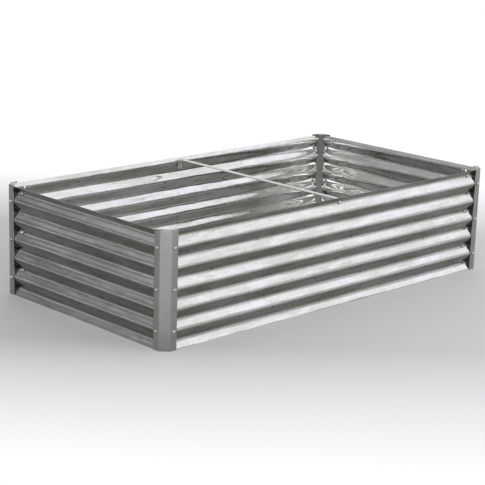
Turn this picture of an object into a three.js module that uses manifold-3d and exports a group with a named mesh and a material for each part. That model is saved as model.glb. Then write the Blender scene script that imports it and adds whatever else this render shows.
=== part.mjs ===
// Raised garden bed of galvanised steel: four corrugated walls bolted between
// four folded corner posts, and one flat strap across the middle that stops the
// long walls from bulging. It is open at the top and at the bottom.
//
// Millimetres, +Z up. The bed stands on z = 0, is centred on the Z axis, and its
// long walls run along X, with the front wall on the -Y side.

import * as THREE from 'three';
import { mergeVertices } from 'three/addons/utils/BufferGeometryUtils.js';
import Module from 'manifold-3d';

const wasm = await Module();
wasm.setup();

// The bed, measured over the flat outer faces of its posts.
const bedLength = 1220;
const bedWidth = 650;
const postHeight = 300;

// Corner post: one sheet folded into flange, 45 degree chamfer and flange.
const postThickness = 1.2;
const postFlange = 20;
const chamferLeg = 20;
const capSlitWidth = 1.5;
const capNotchDepth = 3;

// Corrugated wall sheet. Seen from outside, a ridge stands out and a valley lies back.
const sheetThickness = 0.8;
const corrugationPitch = 52;
const corrugationDepth = 8;
const firstValleyDrop = 13.5;
const wallTopRoom = 2.8;
const wallEndRoom = 1;
const facetsPerPitch = 12;

// Slots near one end of each wall, in every valley.
const slotFromPost = 24;
const slotTravel = 10;

// Pan-head bolts and their hexagon nuts.
const boltDiameter = 5;
const headDiameter = 9.5;
const headHeight = 3.2;
const nutAcrossFlats = 8;
const nutHeight = 4;
const threadPastNut = 1.5;
const boltSides = 12;

// Flat strap between the long walls, with its ends bent down as tabs.
const strapWidth = 16;
const strapThickness = 2;
const strapBendRadius = 2;
const strapNutRoom = 0.9;
const tabBelowBolt = 18.5;
const bendSegments = 4;

// Clearances: between faces that bear on each other, and round a bolt in its hole.
const seatGap = 0.3;
const holeClearance = 0.3;

// Every other ridge and valley takes a bolt, down to this distance from the ground.
const boltRowStep = 2;
const lowestRow = 12;

// ---- values that follow from the sizes above ----

const postLeg = chamferLeg + postFlange;
const boltInFlange = chamferLeg + postFlange / 2;
const wallTop = postHeight - postThickness - wallTopRoom;
const innerBend = chamferLeg + postThickness * (Math.SQRT2 - 1);
const wallEndInset = innerBend + wallEndRoom;
const crestDepth = postThickness + seatGap;
const boltRadius = boltDiameter / 2;
const holeRadius = boltRadius + holeClearance;
const nutRadius = nutAcrossFlats / Math.sqrt(3);
const slotCentre = postLeg + slotFromPost;
const slotBoltInset = slotCentre + slotTravel / 2;

const valleyHeight = (row) => wallTop - firstValleyDrop - row * corrugationPitch;
const ridgeHeight = (row) => valleyHeight(row) - corrugationPitch / 2;

// Depth of the sheet behind the flange's outer face, at its outer and inner skin.
// The skins lie half a thickness either side of a sine, measured square to its slope.
function sheetSkin(height, side) {
  const phase = (2 * Math.PI * (height - valleyHeight(0))) / corrugationPitch;
  const swing = corrugationDepth / 2;
  const slope = (swing * Math.sin(phase) * 2 * Math.PI) / corrugationPitch;
  const middle = crestDepth + sheetThickness / 2 + swing * (1 + Math.cos(phase));
  return middle + side * (sheetThickness / 2) * Math.hypot(1, slope);
}
const outerSkin = (height) => sheetSkin(height, -1);
const innerSkin = (height) => sheetSkin(height, 1);

// ---- solids ----

// A closed geometry without its seams and collapsed triangles, as a solid to cut and join.
function toSolid(geometry) {
  const bare = geometry.clone();
  bare.deleteAttribute('normal');
  bare.deleteAttribute('uv');
  const merged = mergeVertices(bare, 1e-4);
  const index = merged.index.array;
  const triangles = [];
  for (let i = 0; i < index.length; i += 3) {
    const [a, b, c] = index.slice(i, i + 3);
    if (a !== b && b !== c && c !== a) triangles.push(a, b, c);
  }
  const vertProperties = new Float32Array(merged.attributes.position.array);
  const triVerts = new Uint32Array(triangles);
  return new wasm.Manifold(new wasm.Mesh({ numProp: 3, vertProperties, triVerts }));
}

function toGeometry(solid) {
  const mesh = solid.getMesh();
  const geometry = new THREE.BufferGeometry();
  geometry.setAttribute('position', new THREE.BufferAttribute(mesh.vertProperties, 3));
  geometry.setIndex(new THREE.BufferAttribute(mesh.triVerts, 1));
  const flat = geometry.toNonIndexed();
  flat.computeVertexNormals();
  return flat;
}

const cutAll = (solid, cutters) => cutters.reduce((rest, cutter) => rest.subtract(cutter), solid);

// An outline of (y, z) points drawn out along X and centred on it.
function extrudeAlongX(shape, length, curveSegments = 1) {
  const geometry = new THREE.ExtrudeGeometry(shape, { depth: length, bevelEnabled: false, curveSegments });
  const basis = new THREE.Matrix4().makeBasis(
    new THREE.Vector3(0, 1, 0),
    new THREE.Vector3(0, 0, 1),
    new THREE.Vector3(1, 0, 0),
  );
  return geometry.applyMatrix4(basis).translate(-length / 2, 0, 0);
}

// A round hole along Y, long enough to pass the whole depth of a wall.
function holeCutter(x, z, reach = 4 * (crestDepth + corrugationDepth)) {
  const drill = new THREE.CylinderGeometry(holeRadius, holeRadius, reach, boltSides);
  return toSolid(drill.translate(x, 0, z));
}

// A slot along X with round ends, cut along Y.
function slotCutter(x, z, reach = 4 * (crestDepth + corrugationDepth)) {
  const half = slotTravel / 2;
  const outline = new THREE.Shape();
  outline.absarc(half, 0, holeRadius, -Math.PI / 2, Math.PI / 2);
  outline.absarc(-half, 0, holeRadius, Math.PI / 2, (3 * Math.PI) / 2);
  const cutter = new THREE.ExtrudeGeometry(outline, {
    depth: reach,
    bevelEnabled: false,
    curveSegments: boltSides / 2,
  });
  return toSolid(cutter.rotateX(Math.PI / 2).translate(x, reach / 2, z));
}

// Rows of a column of ridges or valleys, from the top down.
function rowsOf(heightOf, step) {
  const rows = [];
  for (let row = 0; heightOf(row) > lowestRow; row += step) rows.push(row);
  return rows;
}
const postBoltRows = rowsOf(ridgeHeight, boltRowStep);
const slotRows = rowsOf(valleyHeight, 1);
const slotBoltRows = rowsOf(valleyHeight, boltRowStep);

// ---- pieces, each in its side's own frame: X along the side, +Y inwards from the flange ----

// Corrugated sheet, with a hole for each post bolt, its slots, and the strap's hole.
function wallGeometry(sideLength, slottedEnd, hasStrap) {
  const heights = [0];
  const step = corrugationPitch / facetsPerPitch;
  const above = Math.ceil(-valleyHeight(0) / step + 1e-3);
  for (let i = above; valleyHeight(0) + i * step < wallTop - 1e-3; i += 1) {
    heights.push(valleyHeight(0) + i * step);
  }
  heights.push(wallTop);
  const outline = new THREE.Shape([
    ...heights.map((height) => new THREE.Vector2(outerSkin(height), height)),
    ...heights.reverse().map((height) => new THREE.Vector2(innerSkin(height), height)),
  ]);
  const sheet = toSolid(extrudeAlongX(outline, sideLength - 2 * wallEndInset));
  const cutters = slotRows.map((row) =>
    slotCutter(slottedEnd * (sideLength / 2 - slotCentre), valleyHeight(row)));
  for (const row of postBoltRows) {
    for (const end of [-1, 1]) {
      cutters.push(holeCutter(end * (sideLength / 2 - boltInFlange), ridgeHeight(row)));
    }
  }
  if (hasStrap) cutters.push(holeCutter(0, valleyHeight(0)));
  return toGeometry(cutAll(sheet, cutters));
}

// Corner post in the corner's own frame: its corner is the origin, and it reaches
// along +X and +Y. Its top is folded in as three tabs, parted by a slit at each bend.
function postGeometry() {
  const t = postThickness;
  const outer = [[postLeg, 0], [chamferLeg, 0], [0, chamferLeg], [0, postLeg]];
  const inner = [[t, postLeg], [t, innerBend], [innerBend, t], [postLeg, t]];
  const capEdge = [[t, postLeg], [postLeg, t]];
  const outlineOf = (points) => new THREE.Shape(points.map(([x, y]) => new THREE.Vector2(x, y)));
  const flat = { bevelEnabled: false, curveSegments: 1 };
  const skin = new THREE.ExtrudeGeometry(outlineOf([...outer, ...inner]), { depth: postHeight, ...flat });
  const cap = new THREE.ExtrudeGeometry(outlineOf([...outer, ...capEdge]), { depth: t, ...flat });
  cap.translate(0, 0, postHeight - t);

  // Each slit runs from a bend to the cap's inner edge, halving the bend's angle.
  const slitLength = 2 * postLeg;
  const slits = [1, -1].map((side) => {
    const slit = new THREE.BoxGeometry(slitLength, capSlitWidth, 2 * capNotchDepth);
    slit.translate(slitLength / 2 - 2 * t, 0, postHeight);
    slit.rotateZ(Math.PI / 4 + (side * Math.PI) / 8);
    const [x, y] = side > 0 ? outer[1] : outer[2];
    return toSolid(slit.translate(x, y, 0));
  });

  const holes = postBoltRows.flatMap((row) => {
    const drill = holeCutter(boltInFlange, ridgeHeight(row), 4 * t);
    return [drill, drill.mirror([1, -1, 0])];
  });
  return toGeometry(cutAll(toSolid(skin).add(toSolid(cap)), [...slits, ...holes]));
}

// Bolt along +Y with its head's underside at headSeat, and its nut's face at nutSeat.
function boltGeometry(headSeat, nutSeat, withNut = true) {
  const headRadius = headDiameter / 2;
  const tip = nutSeat + nutHeight + threadPastNut;
  const profile = [
    [0, headSeat - headHeight],
    [headRadius * 0.55, headSeat - headHeight * 0.9],
    [headRadius, headSeat - headHeight * 0.35],
    [headRadius, headSeat],
    [boltRadius, headSeat],
    [boltRadius, tip],
    [0, tip],
  ].map(([radius, y]) => new THREE.Vector2(radius, y));
  const bolt = toSolid(new THREE.LatheGeometry(profile, boltSides));
  return toGeometry(withNut ? bolt.add(toSolid(nutBlank(nutSeat))) : bolt);
}

function nutBlank(nutSeat) {
  const nut = new THREE.CylinderGeometry(nutRadius, nutRadius, nutHeight, 6);
  return nut.translate(0, nutSeat + nutHeight / 2, 0);
}

// Loose nut with its bore, for a bolt that has its own node.
function nutGeometry(nutSeat) {
  const bore = new THREE.CylinderGeometry(holeRadius, holeRadius, 3 * nutHeight, boltSides);
  return toGeometry(toSolid(nutBlank(nutSeat)).subtract(toSolid(bore.translate(0, nutSeat, 0))));
}

const strapTabFace = innerSkin(valleyHeight(0)) + seatGap;
const strapTop = valleyHeight(0) + nutRadius + strapNutRoom + strapBendRadius + strapThickness;

// Flat strap: its outline is drawn from the side, along Y, and it is as wide as strapWidth.
function strapGeometry() {
  const reach = bedWidth / 2 - strapTabFace;
  const outside = strapBendRadius + strapThickness;
  const bendHeight = strapTop - outside;
  const tabFoot = valleyHeight(0) - tabBelowBolt;
  const outline = new THREE.Shape();
  outline.moveTo(reach, tabFoot);
  outline.absarc(reach - outside, bendHeight, outside, 0, Math.PI / 2);
  outline.absarc(outside - reach, bendHeight, outside, Math.PI / 2, Math.PI);
  outline.lineTo(-reach, tabFoot);
  outline.lineTo(strapThickness - reach, tabFoot);
  outline.absarc(outside - reach, bendHeight, strapBendRadius, Math.PI, Math.PI / 2, true);
  outline.absarc(reach - outside, bendHeight, strapBendRadius, Math.PI / 2, 0, true);
  outline.lineTo(reach - strapThickness, tabFoot);
  const strap = toSolid(extrudeAlongX(outline, strapWidth, bendSegments));
  return toGeometry(strap.subtract(holeCutter(0, valleyHeight(0), 2 * bedWidth)));
}

// ---- finishes ----

const finish = (color, roughness) =>
  new THREE.MeshStandardMaterial({ color, roughness, metalness: 1 });
const spangledSheet = () => finish(0xb9bcbd, 0.25);
const greySheet = () => finish(0x90938f, 0.5);
const zincPlate = () => finish(0xc4c7c6, 0.35);

// ---- assembly ----

const bed = new THREE.Group();

function addPiece(parent, name, geometry, material, x = 0, z = 0) {
  const piece = new THREE.Mesh(geometry, material);
  piece.name = name;
  piece.position.set(x, 0, z);
  parent.add(piece);
}

// The sides in turn, each with the names of its ends at local -X and +X. The long
// walls have their slots at one end and the short walls at the other, so that both
// sheets at the front right and at the back left corner have them.
const sides = [
  { name: 'front', ends: ['left', 'right'], length: bedLength, away: bedWidth / 2, slotted: 1, strap: true },
  { name: 'right', ends: ['front', 'back'], length: bedWidth, away: bedLength / 2, slotted: -1, strap: false },
  { name: 'back', ends: ['right', 'left'], length: bedLength, away: bedWidth / 2, slotted: 1, strap: true },
  { name: 'left', ends: ['back', 'front'], length: bedWidth, away: bedLength / 2, slotted: -1, strap: false },
];

const postNutSeat = innerSkin(ridgeHeight(0) + nutRadius) + seatGap;
const valleyHeadSeat = outerSkin(valleyHeight(0) + headDiameter / 2) - seatGap;
const valleyNutSeat = innerSkin(valleyHeight(0)) + seatGap;
const strapNutSeat = strapTabFace + strapThickness + seatGap;

const postBolt = boltGeometry(-seatGap, postNutSeat);
const slotBolt = boltGeometry(valleyHeadSeat, valleyNutSeat);
const strapBolt = boltGeometry(valleyHeadSeat, strapNutSeat, false);
const strapNut = nutGeometry(strapNutSeat);

sides.forEach((side, quarter) => {
  const frame = new THREE.Group();
  frame.rotation.z = (quarter * Math.PI) / 2;
  const outward = new THREE.Vector3(0, -side.away, 0).applyEuler(frame.rotation);
  frame.position.copy(outward);
  bed.add(frame);

  addPiece(frame, `wall_${side.name}`, wallGeometry(side.length, side.slotted, side.strap), spangledSheet());
  side.ends.forEach((end, index) => {
    const toward = index === 0 ? -1 : 1;
    const boltX = toward * (side.length / 2 - boltInFlange);
    postBoltRows.forEach((row, count) => {
      addPiece(frame, `post_bolt_${side.name}_${end}_${count + 1}`, postBolt, zincPlate(), boltX, ridgeHeight(row));
    });
    if (toward !== side.slotted) return;
    const slotX = toward * (side.length / 2 - slotBoltInset);
    slotBoltRows.forEach((row, count) => {
      addPiece(frame, `slot_bolt_${side.name}_${end}_${count + 1}`, slotBolt, zincPlate(), slotX, valleyHeight(row));
    });
  });
  if (!side.strap) return;
  addPiece(frame, `strap_bolt_${side.name}`, strapBolt, zincPlate(), 0, valleyHeight(0));
  addPiece(frame, `strap_nut_${side.name}`, strapNut, zincPlate(), 0, valleyHeight(0));
});

const corners = ['front_left', 'front_right', 'back_right', 'back_left'];
const cornerPost = postGeometry();
corners.forEach((name, quarter) => {
  const frame = new THREE.Group();
  frame.rotation.z = (quarter * Math.PI) / 2;
  const right = quarter === 1 || quarter === 2;
  const back = quarter >= 2;
  frame.position.set((right ? 1 : -1) * bedLength / 2, (back ? 1 : -1) * bedWidth / 2, 0);
  bed.add(frame);
  addPiece(frame, `post_${name}`, cornerPost, greySheet());
});

addPiece(bed, 'cross_strap', strapGeometry(), zincPlate());

export default bed;
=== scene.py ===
import math

import bmesh
import bpy
from mathutils import Matrix, Vector


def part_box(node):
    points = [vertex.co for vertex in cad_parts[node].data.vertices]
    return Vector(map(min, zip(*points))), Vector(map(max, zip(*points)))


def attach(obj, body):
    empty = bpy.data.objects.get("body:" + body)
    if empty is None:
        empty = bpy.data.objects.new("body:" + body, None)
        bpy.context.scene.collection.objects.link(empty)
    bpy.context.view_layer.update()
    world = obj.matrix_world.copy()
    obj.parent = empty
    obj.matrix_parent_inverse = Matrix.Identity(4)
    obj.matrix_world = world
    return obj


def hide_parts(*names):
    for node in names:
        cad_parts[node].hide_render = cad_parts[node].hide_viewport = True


# Looks of the raised garden bed: corrugated galvanised walls, folded corner posts,
# zinc plated screws and a flat cross strap. Metres, +Z up, front wall on the -Y side.

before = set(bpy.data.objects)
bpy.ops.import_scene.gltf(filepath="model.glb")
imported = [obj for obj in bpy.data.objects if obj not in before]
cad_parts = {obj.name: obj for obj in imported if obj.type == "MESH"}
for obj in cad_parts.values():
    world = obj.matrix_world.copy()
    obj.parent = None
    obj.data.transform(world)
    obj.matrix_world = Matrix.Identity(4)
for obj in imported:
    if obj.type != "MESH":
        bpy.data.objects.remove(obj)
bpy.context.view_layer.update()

MM = 0.001

# The bed, over the flat outer faces of its posts.
BED_LENGTH = 1220 * MM
BED_WIDTH = 650 * MM
POST_HEIGHT = 300 * MM

# Corner post: flange, chamfer and flange, with its top folded in.
POST_SHEET = 1.2 * MM
POST_LEG = 40 * MM
CHAMFER_LEG = 20 * MM
POST_BEND = 2 * MM
CAP_BEND = 1.7 * MM
CAP_TIP = 2.4 * MM
CAP_REACH = 41.2 * MM
CAP_SLIT = 1.4 * MM

# Corrugated wall sheet.
SHEET = 0.8 * MM
PITCH = 52 * MM
CORRUGATION = 8 * MM
CREST_DEPTH = 1.5 * MM
WALL_TOP = 296 * MM
TOP_VALLEY = 282.5 * MM
WALL_END = 21.5 * MM
ROWS_PER_PITCH = 32

# Slots in the valleys near one end of each wall. Each has a finer patch of the grid,
# with rings of quads that shrink from the patch's edge, at 1, to the slot's edge, at 0.
SLOT_FROM_CORNER = 64 * MM
SLOT_TRAVEL = 10 * MM
SLOT_RADIUS = 2.8 * MM
SLOT_COUNT = 6
SLOT_PATCH = 12 * MM
SLOT_RINGS = (0.66, 0.33, 0.1, 0.0)
FINE_COLUMNS = 12
COARSE_COLUMNS = 24

# Screws and nuts. A head is straight up to HEAD_SIDE, and then a crown that is fuller than
# an ellipse, because its power is below 1. Two blades cut its cross recess, down to
# RECESS_FLOOR above its underside, each given by half its length and half its width.
SHANK_RADIUS = 2.5 * MM
HEAD_RADIUS = 4.75 * MM
HEAD_HEIGHT = 3.2 * MM
HEAD_SIDE = 0.45 * HEAD_HEIGHT
HEAD_FULLNESS = 0.8
HEAD_RIM_HEIGHT = 0.25 * MM
HEAD_RIM_INSET = 0.2 * MM
RECESS_FLOOR = 1 * MM
RECESS_OVERSHOOT = 1 * MM
RECESS_TOP = (3.0 * MM, 0.62 * MM)
RECESS_BOTTOM = (0.9 * MM, 0.36 * MM)
NUT_FLATS = 8 * MM
NUT_HEIGHT = 4 * MM
NUT_FACE_SHARE = 0.96
NUT_CHAMFER = 0.16 * NUT_HEIGHT
NUT_BORE = SHANK_RADIUS + 0.05 * MM
COUNTERSINK_WIDTH = 0.3 * MM
COUNTERSINK_DEPTH = 0.2 * MM
THREAD_PITCH = 0.8 * MM
THREAD_DEPTH = 0.3 * MM
THREAD_END = 1.5 * MM
TIP_CHAMFER = 0.5 * MM

# Each screw and nut is turned by this many degrees more than the one before it.
SCREW_TURN = 37
NUT_TURN = 23

# Flat strap with its ends bent down.
STRAP_WIDTH = 16 * MM
STRAP = 2 * MM
STRAP_BEND = 2 * MM

# Rounding of the cut edges of the posts' sheet and of the strap.
POST_EDGE = 0.2 * MM
STRAP_EDGE = 0.4 * MM

# Cells of the walls' spangle, and of their specks.
SPANGLE_PER_METRE = 110.0
SPECKS_PER_METRE = 84.0

# Painted shade on the walls' slopes that face down, standing in for their dark reflections:
# linear colours, how much further up it reaches on the short walls, which are painted darker,
# and the distances from the middle of the back right corner where the inner sides have next
# to none of it, a painted brightness for the reflections there, and have it back.
PAINTED_SHADE_OLIVE = (0.12, 0.129, 0.102, 1)
PAINTED_SHADE_BROWN = (0.156, 0.148, 0.128, 1)
PAINTED_SHADE_PALE = (0.185, 0.205, 0.175, 1)
PAINTED_SHADE_SHORT_WALL = (0.05, 0.056, 0.047, 1)
PAINTED_SHADE_CLIMB = 0.13
PAINTED_SHADE_CLEAR = 130 * MM
PAINTED_SHADE_BACK = 290 * MM

# Floor, in metres: half its side, its grey, and the shade round the bed, an oval that lies
# across the photograph's line of sight. White runs from 0, the grey floor, to 1.
FLOOR_HALF = 60
FLOOR_TONE = 0.82
SHADE_DEEP = 1.3
SHADE_WIDE = 5.0
SHADE_FAR_LEFT = 9
SHADE_CORE = 0.45
SHADE_LEFT = 0.0
SHADE_RIGHT = 0.2
INSIDE_WHITE = 0.35
INSIDE_FADE = 0.05
WHITE = 1.0

# World: plain light of strength SKY, which falls to SKY_DIM round one direction. The fall
# begins and ends at angles from it whose cosines are DIM_START and DIM_WHOLE.
SKY = 0.48
SKY_DIM = 0.13
DIM_SIDE = math.radians(112)
DIM_START = 0.8
DIM_WHOLE = 0.96

# Camera, fitted to the photograph's corners, screws and slots.
FRAME_PX = 485
FOCAL_PX = 1497.8
SENSOR_WIDTH = 36
CAMERA_YAW = math.radians(-44.27)
CAMERA_PITCH = math.radians(14.91)
CAMERA_ROLL = math.radians(1.74)
CAMERA_TARGET = Vector((-138.3, -99.1, 150)) * MM
CAMERA_DISTANCE = 4020 * MM

SIDES = {"front": 0, "right": 1, "back": 2, "left": 3}
CORNERS = {"front_left": 0, "front_right": 1, "back_right": 2, "back_left": 3}


def side_length(side):
    return BED_LENGTH if side in ("front", "back") else BED_WIDTH


def side_matrix(side):
    """From a side's own frame, X along it and +Y inwards from the flanges' faces."""
    away = (BED_WIDTH if side in ("front", "back") else BED_LENGTH) / 2
    turn = Matrix.Rotation(math.radians(90 * SIDES[side]), 4, "Z")
    return turn @ Matrix.Translation((0, -away, 0))


def corner_matrix(corner):
    """From a corner's own frame: its outer corner is the origin, and it reaches +X, +Y."""
    quarter = CORNERS[corner]
    x = BED_LENGTH / 2 if quarter in (1, 2) else -BED_LENGTH / 2
    y = BED_WIDTH / 2 if quarter >= 2 else -BED_WIDTH / 2
    turn = Matrix.Rotation(math.radians(90 * quarter), 4, "Z")
    return Matrix.Translation((x, y, 0)) @ turn


# ---------------------------------------------------------------- mesh helpers


def spread(start, stop, count):
    """count + 1 evenly spaced values from start to stop."""
    return [start + (stop - start) * i / count for i in range(count + 1)]


def mesh_from(name, points, faces):
    mesh = bpy.data.meshes.new(name)
    mesh.from_pydata([tuple(p) for p in points], [], faces)
    mesh.update()
    return mesh


def grid_faces(columns, rows, start=0, closed=False):
    """Quads of a grid stored row after row. If closed, its last column joins its first."""
    faces = []
    for row in range(rows - 1):
        for column in range(columns if closed else columns - 1):
            a = start + row * columns + column
            b = start + row * columns + (column + 1) % columns
            faces.append((a, b, b + columns, a + columns))
    return faces


def place(name, mesh, material, nodes, matrix=None):
    """Adds a piece that rides on the bed and stands for CAD nodes."""
    piece = bpy.data.objects.new(name, mesh)
    bpy.context.scene.collection.objects.link(piece)
    if matrix is not None:
        piece.matrix_world = matrix
    if not mesh.materials:
        mesh.materials.append(material)
    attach(piece, "root")
    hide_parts(*nodes)
    return piece


def bake(piece, smooth_angle):
    """Replaces a piece's mesh by its shape with modifiers, smooth up to smooth_angle."""
    graph = bpy.context.evaluated_depsgraph_get()
    baked = bpy.data.meshes.new_from_object(piece.evaluated_get(graph))
    name = piece.data.name
    old = piece.data
    piece.modifiers.clear()
    piece.data = baked
    bpy.data.meshes.remove(old)
    baked.name = name
    smooth(baked, smooth_angle)


def smooth(mesh, angle):
    """Smooth shading, with sharp edges where faces meet at more than the angle in degrees."""
    mesh.shade_smooth()
    mesh.set_sharp_from_angle(angle=math.radians(angle))


def clean(mesh):
    """Joins vertices that lie on each other, and turns faces outwards."""
    work = bmesh.new()
    work.from_mesh(mesh)
    bmesh.ops.remove_doubles(work, verts=work.verts, dist=1e-6)
    bmesh.ops.recalc_face_normals(work, faces=work.faces)
    work.to_mesh(mesh)
    work.free()


def ease_edges(piece, width, segments=2):
    """A small round on a piece's sharp edges."""
    bevel = piece.modifiers.new("eased edges", "BEVEL")
    bevel.width = width
    bevel.segments = segments
    bevel.limit_method = "ANGLE"
    bevel.angle_limit = math.radians(50)


# ---------------------------------------------------------------- walls


def sheet_middle(z):
    """Depth of the middle of the sheet at height z, behind the flanges' outer faces."""
    phase = 2 * math.pi * (z - TOP_VALLEY) / PITCH
    return CREST_DEPTH + SHEET / 2 + CORRUGATION / 2 * (1 + math.cos(phase))


def slot_edge(x, z):
    """Nearest point to (x, z) on the edge of a slot that is centred on (0, 0)."""
    centre = max(-SLOT_TRAVEL / 2, min(SLOT_TRAVEL / 2, x))
    reach = math.hypot(x - centre, z)
    return centre + (x - centre) * SLOT_RADIUS / reach, z * SLOT_RADIUS / reach


def wall_rows():
    """Heights of the grid's rows, which fall on the sine's valleys and crests."""
    step = PITCH / ROWS_PER_PITCH
    low = math.ceil(-TOP_VALLEY / step + 1e-6)
    high = math.floor((WALL_TOP - TOP_VALLEY) / step - 1e-6)
    inside = [TOP_VALLEY + i * step for i in range(low, high + 1)]
    return [0.0] + inside + [WALL_TOP]


def slot_patches(rows):
    """First row, last row and slot height of each slot's patch of the grid."""
    reach = ROWS_PER_PITCH // 8
    patches = []
    for count in range(SLOT_COUNT):
        slot_z = TOP_VALLEY - count * PITCH
        middle = min(range(len(rows)), key=lambda i: abs(rows[i] - slot_z))
        patches.append((middle - reach, middle + reach, slot_z))
    return patches


def add_slot_rings(points, faces, loop, slot_x, slot_z):
    """Adds rings of quads that lead from the loop, a patch's edge, in to the slot's edge."""
    outer = loop
    for share in SLOT_RINGS:
        inner = []
        for index in loop:
            x, z = points[index]
            hole_x, hole_z = slot_edge(x - slot_x, z - slot_z)
            hole_x += slot_x
            hole_z += slot_z
            inner.append(len(points))
            points.append((hole_x + (x - hole_x) * share, hole_z + (z - hole_z) * share))
        for i in range(len(loop)):
            j = (i + 1) % len(loop)
            faces.append((outer[i], outer[j], inner[j], inner[i]))
        outer = inner


def wall_mesh(side, slotted_end):
    """Middle surface of a corrugated sheet, with rings of quads round each slot."""
    half = side_length(side) / 2
    slot_x = slotted_end * (half - SLOT_FROM_CORNER)
    edge = half - WALL_END
    fine = spread(slot_x - SLOT_PATCH, slot_x + SLOT_PATCH, FINE_COLUMNS)
    coarse = spread(-edge, edge, COARSE_COLUMNS)
    columns = sorted(fine + [x for x in coarse if abs(x - slot_x) > 1.5 * SLOT_PATCH])
    left = columns.index(fine[0])
    right = columns.index(fine[-1])
    rows = wall_rows()
    patches = slot_patches(rows)
    wide = len(columns)
    points = [(x, z) for z in rows for x in columns]

    def in_patch(row, column):
        return left <= column < right and any(low <= row < high for low, high, _ in patches)

    faces = []
    for row in range(len(rows) - 1):
        for column in range(wide - 1):
            if not in_patch(row, column):
                a = row * wide + column
                faces.append((a, a + 1, a + wide + 1, a + wide))
    for low, high, slot_z in patches:
        loop = [low * wide + column for column in range(left, right)]
        loop += [row * wide + right for row in range(low, high)]
        loop += [high * wide + column for column in range(right, left, -1)]
        loop += [row * wide + left for row in range(high, low, -1)]
        add_slot_rings(points, faces, loop, slot_x, slot_z)
    surface = [(x, sheet_middle(z), z) for x, z in points]
    mesh = mesh_from(f"wall_{side}", surface, faces)
    mesh.transform(side_matrix(side))
    return mesh


def add_wall(side, slotted_end, material):
    """A wall's sheet, with its thickness shared by both sides of its middle surface."""
    mesh = wall_mesh(side, slotted_end)
    name = f"corrugated_wall_{side}"
    piece = place(name, mesh, material, [f"wall_{side}"])
    thickness = piece.modifiers.new("sheet", "SOLIDIFY")
    thickness.thickness = SHEET
    thickness.offset = 0
    bake(piece, 40)

    # Where the sheet slopes at its foot, its thickness would reach just below the ground.
    for vertex in piece.data.vertices:
        vertex.co.z = max(vertex.co.z, 0)


# ---------------------------------------------------------------- posts


def rounded_path(points, radius, steps):
    """The points' path in the plane, with each inner corner rounded, as a list per stretch.

    Straight stretches and arcs alternate, and neighbours share their end points."""
    stretches = []
    points = [Vector(point) for point in points]
    start = points[0]
    for before, corner, after in zip(points, points[1:], points[2:]):
        inward = (before - corner).normalized()
        outward = (after - corner).normalized()
        half_angle = inward.angle(outward) / 2
        tangent = radius / math.tan(half_angle)
        centre = corner + (inward + outward).normalized() * radius / math.sin(half_angle)
        first = corner + inward * tangent
        last = corner + outward * tangent
        spoke = first - centre
        turn = math.atan2(spoke.cross(last - centre), spoke.dot(last - centre))
        arc = []
        for i in range(steps + 1):
            arc.append(centre + Matrix.Rotation(turn * i / steps, 2) @ spoke)
        stretches.append([start.lerp(first, i / 4) for i in range(5)])
        stretches.append(arc)
        start = last
    stretches.append([start.lerp(points[-1], i / 4) for i in range(5)])
    return stretches


def folded_tab(base, tips, inward):
    """Points of a tab that folds in from the base line, over CAP_BEND, to its tips."""
    rows = []
    turn_steps = 5
    flat_steps = 3
    top = POST_HEIGHT - CAP_BEND
    for i in range(turn_steps + 1):
        angle = math.pi / 2 * i / turn_steps
        depth = CAP_BEND * (1 - math.cos(angle))
        rows.append((depth, None, top + CAP_BEND * math.sin(angle)))
    for i in range(1, flat_steps + 1):
        rows.append((CAP_BEND, i / flat_steps, POST_HEIGHT))
    points = []
    for depth, share, z in rows:
        for foot, tip in zip(base, tips):
            whole = (tip - foot).dot(inward)
            reach = depth / whole
            if share is not None:
                reach += (1 - reach) * share
            flat = foot + (tip - foot) * reach
            points.append((flat.x, flat.y, z))
    return points, len(rows)


def post_mesh():
    """Outer skin of a corner post in the corner's own frame."""
    corners = [(POST_LEG, 0), (CHAMFER_LEG, 0), (0, CHAMFER_LEG), (0, POST_LEG)]
    stretches = rounded_path(corners, POST_BEND, 5)
    path = stretches[0][:1] + [p for stretch in stretches for p in stretch[1:]]
    heights = spread(0, POST_HEIGHT - CAP_BEND, 6)
    points = [(p.x, p.y, z) for z in heights for p in path]
    faces = grid_faces(len(path), len(heights))

    # The three tabs end on one straight line across the corner. Neighbours part along the
    # line that halves the 135 degrees between flange and chamfer.
    bend = Vector((CHAMFER_LEG, 0))
    halfway = math.radians(135 / 2)
    bisector = Vector((math.cos(halfway), math.sin(halfway)))
    reach = (CAP_REACH - bend.x - bend.y) / (bisector.x + bisector.y)
    joint = bend + bisector * reach
    along = Vector((1, -1)).normalized()
    mirrored = Vector((joint.y, joint.x))
    free = Vector((POST_LEG, CAP_TIP))
    half_slit = along * CAP_SLIT / 2
    tabs = [
        (stretches[0], free, joint + half_slit, Vector((0, 1))),
        (stretches[2], joint - half_slit, mirrored + half_slit, Vector((1, 1)).normalized()),
        (stretches[4], mirrored - half_slit, Vector((free.y, free.x)), Vector((1, 0))),
    ]
    for base, first_tip, last_tip, inward in tabs:
        tips = [first_tip.lerp(last_tip, i / (len(base) - 1)) for i in range(len(base))]
        tab, rows = folded_tab(base, tips, inward)
        faces += grid_faces(len(base), rows, start=len(points))
        points += tab
    mesh = mesh_from("corner_post", points, faces)
    clean(mesh)
    return mesh


def add_post(corner, material):
    """A corner post, with its sheet's thickness on the inner side of its outer skin."""
    mesh = post_mesh()
    outward = sum((f.normal.y for f in mesh.polygons if f.center.z < POST_HEIGHT / 2), 0.0)
    if outward > 0:
        mesh.flip_normals()
    mesh.transform(corner_matrix(corner))
    piece = place(f"corner_post_{corner}", mesh, material, [f"post_{corner}"])
    thickness = piece.modifiers.new("sheet", "SOLIDIFY")
    thickness.thickness = POST_SHEET
    thickness.offset = -1
    thickness.use_even_offset = True
    ease_edges(piece, POST_EDGE)
    bake(piece, 35)


# ---------------------------------------------------------------- screws and nuts


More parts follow.
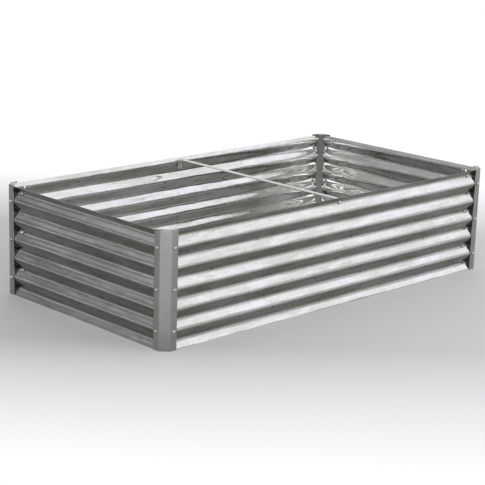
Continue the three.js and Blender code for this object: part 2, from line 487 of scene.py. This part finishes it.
def turned(name, profile, steps=40):
    """A body of revolution about Y from (radius, y) points that start and end on the axis."""
    points = [(0, profile[0][1], 0)]
    for radius, y in profile[1:-1]:
        for i in range(steps):
            angle = 2 * math.pi * i / steps
            points.append((radius * math.cos(angle), y, radius * math.sin(angle)))
    last = len(points)
    points.append((0, profile[-1][1], 0))
    faces = grid_faces(steps, len(profile) - 2, start=1, closed=True)
    for i in range(steps):
        j = (i + 1) % steps
        faces.append((0, 1 + j, 1 + i))
        faces.append((last, last - steps + i, last - steps + j))
    mesh = mesh_from(name, points, faces)
    clean(mesh)
    return mesh


def cross_recess():
    """Cutter for a cross recess: two tapered blades, crossed on the head's axis."""
    above = -HEAD_HEIGHT - RECESS_OVERSHOOT
    points = []
    faces = []
    for turn in (0, math.pi / 2):
        start = len(points)
        for y, (reach, half) in ((above, RECESS_TOP), (-RECESS_FLOOR, RECESS_BOTTOM)):
            for along, across in ((1, 1), (-1, 1), (-1, -1), (1, -1)):
                x = along * reach * math.cos(turn) - across * half * math.sin(turn)
                z = along * reach * math.sin(turn) + across * half * math.cos(turn)
                points.append((x, y, z))
        quad = [(0, 1, 2, 3), (7, 6, 5, 4)]
        quad += [(i, 4 + i, 4 + (i + 1) % 4, (i + 1) % 4) for i in range(4)]
        faces += [tuple(start + i for i in face) for face in quad]
    mesh = mesh_from("cross_recess", points, faces)
    clean(mesh)
    cutter = bpy.data.objects.new("cross_recess", mesh)
    bpy.context.scene.collection.objects.link(cutter)
    return cutter


def screw_mesh(shank_length, material):
    """Pan-head screw along +Y, with its head's underside at y = 0."""
    head = [(0, -HEAD_HEIGHT)]
    for angle in spread(0, math.pi / 2, 8)[1:]:
        radius = HEAD_RADIUS * math.sin(angle) ** HEAD_FULLNESS
        head.append((radius, -HEAD_SIDE - (HEAD_HEIGHT - HEAD_SIDE) * math.cos(angle)))
    head += [(HEAD_RADIUS, -HEAD_RIM_HEIGHT), (HEAD_RADIUS - HEAD_RIM_INSET, 0)]
    head += [(SHANK_RADIUS, 0), (0, 0)]
    head_mesh = turned("pan_head", head)
    piece = bpy.data.objects.new("pan_head", head_mesh)
    bpy.context.scene.collection.objects.link(piece)
    cutter = cross_recess()
    cut = piece.modifiers.new("recess", "BOOLEAN")
    cut.object = cutter
    cut.operation = "DIFFERENCE"
    cut.solver = "EXACT"
    cut.use_self = True
    bake(piece, 35)
    shank = thread_mesh(shank_length)
    whole = bmesh.new()
    whole.from_mesh(piece.data)
    whole.from_mesh(shank)
    mesh = bpy.data.meshes.new("pan_head_screw")
    whole.to_mesh(mesh)
    whole.free()
    for spare in (piece, cutter):
        old = spare.data
        bpy.data.objects.remove(spare)
        bpy.data.meshes.remove(old)
    bpy.data.meshes.remove(shank)
    mesh.materials.append(material)
    smooth(mesh, 35)
    return mesh


def thread_mesh(length, steps=20):
    """Threaded shank from y = 0 to length: one helical groove, with a chamfered end."""
    rows = max(8, int(length / THREAD_PITCH * 6))
    points = []
    for row in range(rows + 1):
        y = length * row / rows
        for i in range(steps):
            turn = i / steps
            groove = abs(((y / THREAD_PITCH - turn) % 1) * 2 - 1)
            radius = SHANK_RADIUS - THREAD_DEPTH * groove
            radius = min(radius, SHANK_RADIUS - TIP_CHAMFER + (length - y))
            angle = 2 * math.pi * turn
            points.append((radius * math.cos(angle), y, radius * math.sin(angle)))
    faces = grid_faces(steps, rows + 1, closed=True)
    faces.append(tuple(range(steps)))
    faces.append(tuple(rows * steps + i for i in reversed(range(steps))))
    mesh = mesh_from("thread", points, faces)
    clean(mesh)
    return mesh


def nut_mesh(material, steps=48):
    """Hexagon nut along +Y from y = 0, with chamfered corners and a bore."""
    flat = NUT_FLATS / 2
    corner = flat / math.cos(math.pi / 6)
    face = flat * NUT_FACE_SHARE
    profile = [(share * NUT_CHAMFER, face + (corner - face) * share) for share in spread(0, 1, 4)]
    heights = profile + [(NUT_HEIGHT - y, limit) for y, limit in reversed(profile)]
    mouth = NUT_BORE + COUNTERSINK_WIDTH
    points = []

    def ring(y, radius_at):
        for i in range(steps):
            angle = 2 * math.pi * i / steps
            radius = radius_at(angle)
            points.append((radius * math.cos(angle), y, radius * math.sin(angle)))

    def hexagon(angle):
        return flat / math.cos((angle + math.pi / 6) % (math.pi / 3) - math.pi / 6)

    ring(COUNTERSINK_DEPTH, lambda angle: NUT_BORE)
    ring(0, lambda angle: mouth)
    for y, limit in heights:
        ring(y, lambda angle, limit=limit: min(hexagon(angle), limit))
    ring(NUT_HEIGHT, lambda angle: mouth)
    ring(NUT_HEIGHT - COUNTERSINK_DEPTH, lambda angle: NUT_BORE)
    rows = len(points) // steps
    faces = grid_faces(steps, rows, closed=True)
    last = (rows - 1) * steps
    faces += [(last + i, last + (i + 1) % steps, (i + 1) % steps, i) for i in range(steps)]
    mesh = mesh_from("hexagon_nut", points, faces)
    clean(mesh)
    mesh.materials.append(material)
    smooth(mesh, 28)
    return mesh


def add_fasteners(material):
    """A screw and a nut for every fastener of the frame, each turned its own way."""
    nut = nut_mesh(material)
    screws = {}
    kinds = ("post_bolt_", "slot_bolt_", "strap_bolt_")
    names = [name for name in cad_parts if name.startswith(kinds)]
    for count, name in enumerate(sorted(names)):
        side = name.split("_")[2]
        into = side_matrix(side)
        low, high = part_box(name)
        local = [into.inverted() @ corner for corner in (low, high)]
        head_top = min(p.y for p in local)
        tip = max(p.y for p in local)
        centre = (local[0] + local[1]) / 2
        length = tip - head_top - HEAD_HEIGHT
        key = round(length, 6)
        if key not in screws:
            screws[key] = screw_mesh(length, material)
        spin = Matrix.Rotation(math.radians(SCREW_TURN * count % 90), 4, "Y")
        seat = Matrix.Translation((centre.x, head_top + HEAD_HEIGHT, centre.z))
        screw_name = name.replace("_bolt_", "_screw_")
        place(screw_name, screws[key], material, [name], into @ seat @ spin)
        nut_node = name.replace("_bolt_", "_nut_")
        stands_for = nut_node if nut_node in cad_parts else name
        seat = Matrix.Translation((centre.x, tip - THREAD_END - NUT_HEIGHT, centre.z))
        spin = Matrix.Rotation(math.radians(NUT_TURN * count % 60), 4, "Y")
        place(f"hexagon_{nut_node}", nut, material, [stands_for], into @ seat @ spin)


# ---------------------------------------------------------------- cross strap


def add_strap(material):
    """The flat strap: an outline with two rounded bends, given its width along X."""
    low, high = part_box("cross_strap")
    reach = high.y
    outside = STRAP_BEND + STRAP
    bend_z = high.z - outside
    outer = [(reach, low.z)]
    inner = [(reach - STRAP, low.z)]
    for side in (1, -1):
        for angle in spread(0, math.pi / 2, 6):
            turn = angle if side > 0 else math.pi / 2 + angle
            centre = side * (reach - outside)
            for line, radius in ((outer, outside), (inner, STRAP_BEND)):
                line.append((centre + radius * math.cos(turn), bend_z + radius * math.sin(turn)))
    outer.append((-reach, low.z))
    inner.append((STRAP - reach, low.z))
    outline = outer + inner[::-1]
    count = len(outline)
    points = [(x, y, z) for x in (-STRAP_WIDTH / 2, STRAP_WIDTH / 2) for y, z in outline]
    half = len(outer)
    faces = []
    for i in range(count):
        j = (i + 1) % count
        faces.append((i, j, count + j, count + i))
    for i in range(half - 1):
        a = count - 1 - i
        b = a - 1
        faces.append((i, a, b, i + 1))
        faces.append((count + i, count + i + 1, count + b, count + a))
    mesh = mesh_from("cross_strap", points, faces)
    clean(mesh)
    piece = place("cross_strap_bar", mesh, material, ["cross_strap"])
    ease_edges(piece, STRAP_EDGE, 3)
    bake(piece, 35)


# ---------------------------------------------------------------- materials


class Nodes:
    """Short calls for a material's nodes and links."""

    def __init__(self, name):
        self.material = bpy.data.materials.new(name)
        self.material.use_nodes = True
        self.tree = self.material.node_tree
        self.shader = self.tree.nodes["Principled BSDF"]

    def add(self, kind, values=None, **settings):
        node = self.tree.nodes.new(kind)
        for key, value in settings.items():
            setattr(node, key, value)
        for socket, value in (values or {}).items():
            if isinstance(value, bpy.types.NodeSocket):
                self.tree.links.new(value, node.inputs[socket])
            else:
                node.inputs[socket].default_value = value
        return node

    def set(self, **values):
        for socket, value in values.items():
            socket = socket.replace("_", " ").title()
            if isinstance(value, bpy.types.NodeSocket):
                self.tree.links.new(value, self.shader.inputs[socket])
            else:
                self.shader.inputs[socket].default_value = value

    def place(self, scale=(1, 1, 1)):
        """The object's coordinates. A scale below 1 draws a pattern out along that axis."""
        where = self.add("ShaderNodeTexCoord").outputs["Object"]
        return self.add("ShaderNodeMapping", {"Vector": where, "Scale": scale}).outputs["Vector"]

    def noise(self, vector, scale, detail=4, roughness=0.55):
        values = {"Vector": vector, "Scale": scale, "Detail": detail, "Roughness": roughness}
        return self.add("ShaderNodeTexNoise", values).outputs["Fac"]

    def span(self, value, low, high, to_low, to_high):
        """Maps low..high to to_low..to_high, and holds the ends."""
        values = {"Value": value, 1: low, 2: high, 3: to_low, 4: to_high}
        return self.add("ShaderNodeMapRange", values).outputs["Result"]

    def math(self, operation, a, b):
        return self.add("ShaderNodeMath", {0: a, 1: b}, operation=operation).outputs[0]

    def axes(self, vector):
        return self.add("ShaderNodeSeparateXYZ", {"Vector": vector}).outputs

    def cells(self, vector, scale):
        """Distance to the nearest of scattered points, and that point's random colour."""
        cells = self.add("ShaderNodeTexVoronoi", {"Vector": vector, "Scale": scale}, feature="F1")
        colour = self.add("ShaderNodeSeparateColor", {"Color": cells.outputs["Color"]}).outputs
        return cells.outputs["Distance"], colour

    def mix(self, factor, a, b):
        node = self.add("ShaderNodeMix", {0: factor, 6: a, 7: b}, data_type="RGBA")
        return node.outputs[2]

    def bump(self, height, strength, distance, normal=None):
        values = {"Height": height, "Strength": strength, "Distance": distance}
        if normal is not None:
            values["Normal"] = normal
        return self.add("ShaderNodeBump", values).outputs["Normal"]


def grey(level, warm=0.0):
    """A linear grey, a little warmer or cooler."""
    return (level * (1 + warm), level, level * (1 - warm), 1)


def zinc_tone(level, olive=0.0):
    """Linear colour of zinc: a grey, moved towards olive, or towards lavender below zero."""
    return (level * 0.98, level * (1 + 0.15 * olive), level * (0.98 - olive), 1)


def clean_zinc(n, cloud, smudge, spangle):
    """Colour of the bright zinc: olive to lavender clouds, spangle, dull and pale smudges."""
    base = n.mix(n.span(cloud, 0.36, 0.5, 0, 1), zinc_tone(0.6, 0.05), zinc_tone(0.72, 0.02))
    base = n.mix(n.span(cloud, 0.52, 0.62, 0, 1), base, zinc_tone(0.8, -0.045))
    base = n.mix(n.span(spangle, 0, 1, 0, 0.3), base, zinc_tone(0.66, 0.01))
    base = n.mix(n.span(smudge, 0.56, 0.7, 0, 0.4), base, zinc_tone(0.5, 0.03))
    return n.mix(n.span(smudge, 0.36, 0.46, 0.6, 0), base, zinc_tone(0.84, -0.02))


def painted_shade_cover(n, here, drawn, facing, short_wall):
    """Share of the painted shade. It lies on slopes that face down, reaches further up on
    the short walls, and is thinner inside the bed, most of all in the back right corner,
    which is left bright as painted light."""
    lean = n.math("SUBTRACT", facing["Z"], n.math("MULTIPLY", short_wall, PAINTED_SHADE_CLIMB))
    painted_shade = n.span(lean, -0.2, 0.15, 0.96, 0)
    corner = (BED_LENGTH / 2, BED_WIDTH / 2, POST_HEIGHT / 2)
    apart = n.add("ShaderNodeVectorMath", {0: here, 1: corner}, operation="DISTANCE")
    inside = n.span(apart.outputs["Value"], PAINTED_SHADE_CLEAR, PAINTED_SHADE_BACK, 0.1, 0.92)
    spot = n.axes(here)
    along = n.math("MULTIPLY", facing["X"], spot["X"])
    outward = n.math("ADD", along, n.math("MULTIPLY", facing["Y"], spot["Y"]))
    painted_shade = n.math("MULTIPLY", painted_shade, n.span(outward, 0, 0.02, inside, 1))
    return n.math("MULTIPLY", painted_shade, n.span(n.noise(drawn, 34, 5, 0.7), 0.35, 0.6, 0.85, 1))


def painted_shade_colour(n, cloud, blotch, short_wall):
    """Colour of the painted shade: olive with brown blotches and paler clouds, darker on the
    short walls.
    """
    colour = n.mix(n.span(blotch, 0.42, 0.56, 0, 1), PAINTED_SHADE_OLIVE, PAINTED_SHADE_BROWN)
    colour = n.mix(n.span(cloud, 0.48, 0.62, 0, 1), colour, PAINTED_SHADE_PALE)
    return n.mix(n.math("MULTIPLY", short_wall, 0.5), colour, PAINTED_SHADE_SHORT_WALL)


def speck_cover(n, blotch, facing):
    """Share of small dark specks, most of them in the brown blotches on slopes that face down."""
    distance, colour = n.cells(n.place((0.45, 0.45, 1)), SPECKS_PER_METRE)
    speck = n.span(distance, 0.08, 0.24, 0.9, 0)
    chance = n.math("MULTIPLY", colour["Red"], blotch)
    speck = n.math("MULTIPLY", speck, n.span(chance, 0.2, 0.3, 0, 1))
    return n.math("MULTIPLY", speck, n.span(facing["Z"], -0.1, 0.15, 1, 0.2))


def sheet_roughness(n, smudge, spangle):
    """Bright, a little different from cell to cell, and duller in smudges and haze."""
    haze = n.noise(n.place((0.22, 0.22, 2.2)), 24, 5, 0.6)
    shine = n.span(spangle, 0, 1, 0.08, 0.14)
    shine = n.math("ADD", shine, n.span(smudge, 0.5, 0.75, 0, 0.12))
    return n.math("ADD", shine, n.span(haze, 0.5, 0.66, 0, 0.14))


def sheet_bump(n, spangle):
    """A sheet that isn't quite flat: long waves, finer ripples, and the spangle's cells."""
    wave = n.noise(n.place((0.5, 0.5, 2.0)), 9, 2, 0.5)
    ripple = n.noise(n.place((0.15, 0.15, 1.5)), 38, 2, 0.5)
    normal = n.bump(wave, 1.0, 3 * MM)
    normal = n.bump(ripple, 1.0, 0.7 * MM, normal)
    return n.bump(spangle, 0.15, 0.2 * MM, normal)


def galvanised_sheet():
    """Bright hot-dip zinc of the walls, with painted shade on slopes that face down."""
    n = Nodes("galvanised sheet")
    here = n.place()
    drawn = n.place((0.28, 0.28, 1.5))
    spangle = n.cells(here, SPANGLE_PER_METRE)[1]
    cloud = n.noise(drawn, 16, 4, 0.6)
    smudge = n.noise(n.place((0.35, 0.35, 1.3)), 42, 5, 0.65)
    blotch = n.noise(n.place((0.3, 0.3, 1.2)), 60, 4, 0.6)
    facing = n.axes(n.add("ShaderNodeTexCoord").outputs["Normal"])
    short_wall = n.span(n.math("ABSOLUTE", facing["X"], 0), 0.3, 0.5, 0, 1)
    # Painted shade: the slopes that face down get a dark olive tone, standing in for their dark
    # reflections.
    painted_shade = painted_shade_cover(n, here, drawn, facing, short_wall)
    base = clean_zinc(n, cloud, smudge, spangle["Red"])
    base = n.mix(painted_shade, base, painted_shade_colour(n, cloud, blotch, short_wall))
    base = n.mix(speck_cover(n, blotch, facing), base, zinc_tone(0.045, 0.05))
    shine = sheet_roughness(n, smudge, spangle["Green"])
    n.set(base_color=base, metallic=0.9, roughness=shine, normal=sheet_bump(n, spangle["Blue"]))
    return n.material


def post_tone(level):
    """Linear colour of the posts' zinc, a grey with a little green."""
    return (level * 0.96, level, level * 0.97, 1)


def galvanised_post():
    """Duller grey zinc of the folded posts, with faint mottling and rub marks."""
    n = Nodes("galvanised post")
    here = n.place()
    mottle = n.noise(here, 60, 5, 0.6)
    rub = n.noise(n.place((90, 90, 9)), 1.0, 3, 0.6)
    base = n.mix(n.span(mottle, 0.3, 0.7, 0, 1), post_tone(0.325), post_tone(0.37))
    base = n.mix(n.span(rub, 0.66, 0.78, 0, 0.5), base, post_tone(0.29))
    shine = n.span(mottle, 0.3, 0.7, 0.28, 0.36)
    normal = n.bump(n.noise(here, 500, 3, 0.6), 0.3, 0.08 * MM)
    n.set(base_color=base, metallic=1.0, roughness=shine, normal=normal)
    return n.material


def galvanised_strap():
    """Satin zinc of the flat strap, drawn along its length."""
    n = Nodes("galvanised strap")
    drawn = n.noise(n.place((260, 12, 260)), 1.0, 4, 0.6)
    mottle = n.noise(n.place(), 45, 4, 0.6)
    base = n.mix(n.span(mottle, 0.3, 0.7, 0, 1), grey(0.56), grey(0.64))
    shine = n.span(drawn, 0.3, 0.7, 0.3, 0.45)
    normal = n.bump(drawn, 0.3, 0.1 * MM)
    n.set(base_color=base, metallic=1.0, roughness=shine, normal=normal)
    return n.material


def zinc_plate():
    """Bright zinc plate of the screws and nuts, with painted shade where they face down."""
    n = Nodes("zinc plate")
    here = n.place()
    mottle = n.noise(here, 900, 3, 0.6)
    base = n.mix(n.span(mottle, 0.3, 0.7, 0, 1), grey(0.7, -0.01), grey(0.8, -0.01))
    facing = n.axes(n.add("ShaderNodeNewGeometry").outputs["Normal"])
    # Painted shade: the sides of heads and nuts that face down are darkened, as if in shadow.
    base = n.mix(n.span(facing["Z"], -0.5, 0.05, 0.85, 0), base, grey(0.08))
    shine = n.span(mottle, 0.3, 0.7, 0.2, 0.36)
    normal = n.bump(n.noise(here, 2500, 2, 0.5), 0.2, 0.03 * MM)
    n.set(base_color=base, metallic=1.0, roughness=shine, normal=normal)
    return n.material


def seen_directly(n):
    """One for camera, glossy and transmission rays, the ones that show a background."""
    path = n.add("ShaderNodeLightPath").outputs
    seen = n.math("MAXIMUM", path["Is Camera Ray"], path["Is Glossy Ray"])
    return n.math("MAXIMUM", seen, path["Is Transmission Ray"])


def within(n, coordinate, size):
    """One between the bed's sides, and zero beyond them, with a fade."""
    away = n.math("ABSOLUTE", coordinate, 0)
    return n.span(away, size / 2 - INSIDE_FADE, size / 2, 1, 0)


def floor_white(n, spot):
    """How white the floor looks: an oval shade round the bed, which is longer to the left."""
    half = math.sqrt(0.5)
    deep = n.math("MULTIPLY", n.math("ADD", spot["X"], spot["Y"]), half / SHADE_DEEP)
    wide = n.math("MULTIPLY", n.math("SUBTRACT", spot["X"], spot["Y"]), half / SHADE_WIDE)
    far_left = n.math("MULTIPLY", wide, -SHADE_WIDE / SHADE_FAR_LEFT)
    reach = n.math("MAXIMUM", wide, far_left)
    squares = n.math("ADD", n.math("MULTIPLY", deep, deep), n.math("MULTIPLY", reach, reach))
    core_white = n.span(wide, -0.2, 0.2, SHADE_LEFT, SHADE_RIGHT)
    white = n.span(n.math("SQRT", squares, 0), SHADE_CORE, 1, core_white, 1)

    # Inside the bed, which shades its floor, at least a part of the white stays.
    inside = n.math("MINIMUM", within(n, spot["X"], BED_LENGTH), within(n, spot["Y"], BED_WIDTH))
    return n.math("MAXIMUM", white, n.math("MULTIPLY", inside, INSIDE_WHITE))


def pale_floor():
    """Pale grey floor that looks white away from the bed, and keeps the bed's shadow."""
    n = Nodes("pale floor")
    here = n.place()
    tone = n.noise(here, 1.5, 2, 0.5)
    base = n.mix(n.span(tone, 0.3, 0.7, 0, 1), grey(FLOOR_TONE), grey(FLOOR_TONE + 0.02))
    n.set(base_color=base, roughness=0.7)
    n.shader.inputs["Specular IOR Level"].default_value = 0.2
    white = n.math("MULTIPLY", floor_white(n, n.axes(here)), seen_directly(n))
    glow = n.add("ShaderNodeEmission", {"Color": (1, 1, 1, 1), "Strength": WHITE})
    both = n.add("ShaderNodeMixShader", {0: white, 1: n.shader.outputs[0], 2: glow.outputs[0]})
    n.tree.links.new(both.outputs[0], n.tree.nodes["Material Output"].inputs["Surface"])
    return n.material


# ---------------------------------------------------------------- studio


def add_floor():
    signs = ((-1, -1), (1, -1), (1, 1), (-1, 1))
    corners = [(x * FLOOR_HALF, y * FLOOR_HALF, 0) for x, y in signs]
    mesh = mesh_from("floor", corners, [(0, 1, 2, 3)])
    mesh.materials.append(pale_floor())
    floor = bpy.data.objects.new("floor", mesh)
    bpy.context.scene.collection.objects.link(floor)


def add_world():
    """Plain light from all round, dimmer where the left wall's mirror looks in the photograph."""
    world = bpy.data.worlds.new("studio")
    bpy.context.scene.world = world
    world.use_nodes = True
    nodes = world.node_tree.nodes
    links = world.node_tree.links
    sky = nodes["Background"]
    sky.inputs["Color"].default_value = (1, 1, 1, 1)
    towards = nodes.new("ShaderNodeVectorMath")
    towards.operation = "DOT_PRODUCT"
    towards.inputs[1].default_value = (math.cos(DIM_SIDE), math.sin(DIM_SIDE), 0)
    links.new(nodes.new("ShaderNodeTexCoord").outputs["Generated"], towards.inputs[0])
    dim = nodes.new("ShaderNodeMapRange")
    for index, value in enumerate((DIM_START, DIM_WHOLE, SKY, SKY_DIM)):
        dim.inputs[index + 1].default_value = value
    links.new(towards.outputs["Value"], dim.inputs["Value"])
    links.new(dim.outputs["Result"], sky.inputs["Strength"])


def softbox(name, place_at, aim_height, size, radiance, tint=(1, 1, 1)):
    """A card that faces a point aim_height above the bed's middle, and shines evenly."""
    width, height = size
    light = bpy.data.lights.new(name, "AREA")
    light.shape = "RECTANGLE"
    light.size = width
    light.size_y = height
    light.energy = radiance * math.pi * width * height
    light.color = tint
    lamp = bpy.data.objects.new(name, light)
    lamp.location = place_at
    direction = Vector((0, 0, aim_height)) - Vector(place_at)
    lamp.rotation_euler = direction.to_track_quat("-Z", "Y").to_euler()
    lamp.visible_camera = False
    bpy.context.scene.collection.objects.link(lamp)


def add_cards():
    """Five soft cards, which the walls mirror as their light bands."""
    softbox("key card", (3.75, -4.0, 2.92), 2.2, (5.5, 4.6), 0.68, (1.01, 0.985, 1.07))
    softbox("back card", (2.4, 2.6, 1.6), 1.2, (3.4, 3.1), 0.7)
    softbox("fill card", (-3.5, -3.5, 2.2), 1.5, (4.6, 4.0), 0.5)
    softbox("bright card", (-3.2, -3.2, 1.9), 0.8, (1.4, 1.8), 3.4)
    softbox("side card", (-3.7, 3.95, 2.25), 2.0, (3.4, 1.3), 0.12, (0.95, 1.0, 0.97))


def add_camera():
    """The photograph's view, from the fitted yaw, pitch, roll and focal length."""
    away = math.cos(CAMERA_PITCH)
    back = Vector((math.sin(CAMERA_YAW) * away, -math.cos(CAMERA_YAW) * away,
                   math.sin(CAMERA_PITCH)))
    right = (-back).cross(Vector((0, 0, 1))).normalized()
    up = right.cross(-back)
    side = right * math.cos(CAMERA_ROLL) + up * math.sin(CAMERA_ROLL)
    top = up * math.cos(CAMERA_ROLL) - right * math.sin(CAMERA_ROLL)
    data = bpy.data.cameras.new("camera")
    data.sensor_width = SENSOR_WIDTH
    data.lens = FOCAL_PX / FRAME_PX * data.sensor_width
    camera = bpy.data.objects.new("camera", data)
    bpy.context.scene.collection.objects.link(camera)
    turn = Matrix((side, top, back)).transposed().to_4x4()
    camera.matrix_world = Matrix.Translation(CAMERA_TARGET + back * CAMERA_DISTANCE) @ turn
    bpy.context.scene.camera = camera


# ---------------------------------------------------------------- the whole scene

bpy.context.scene.view_settings.view_transform = "Standard"

sheet = galvanised_sheet()
post = galvanised_post()
zinc = zinc_plate()
for side, slotted_end in (("front", 1), ("right", -1), ("back", 1), ("left", -1)):
    add_wall(side, slotted_end, sheet)
for corner in CORNERS:
    add_post(corner, post)
add_fasteners(zinc)
add_strap(galvanised_strap())
add_camera()
add_floor()
add_world()
add_cards()
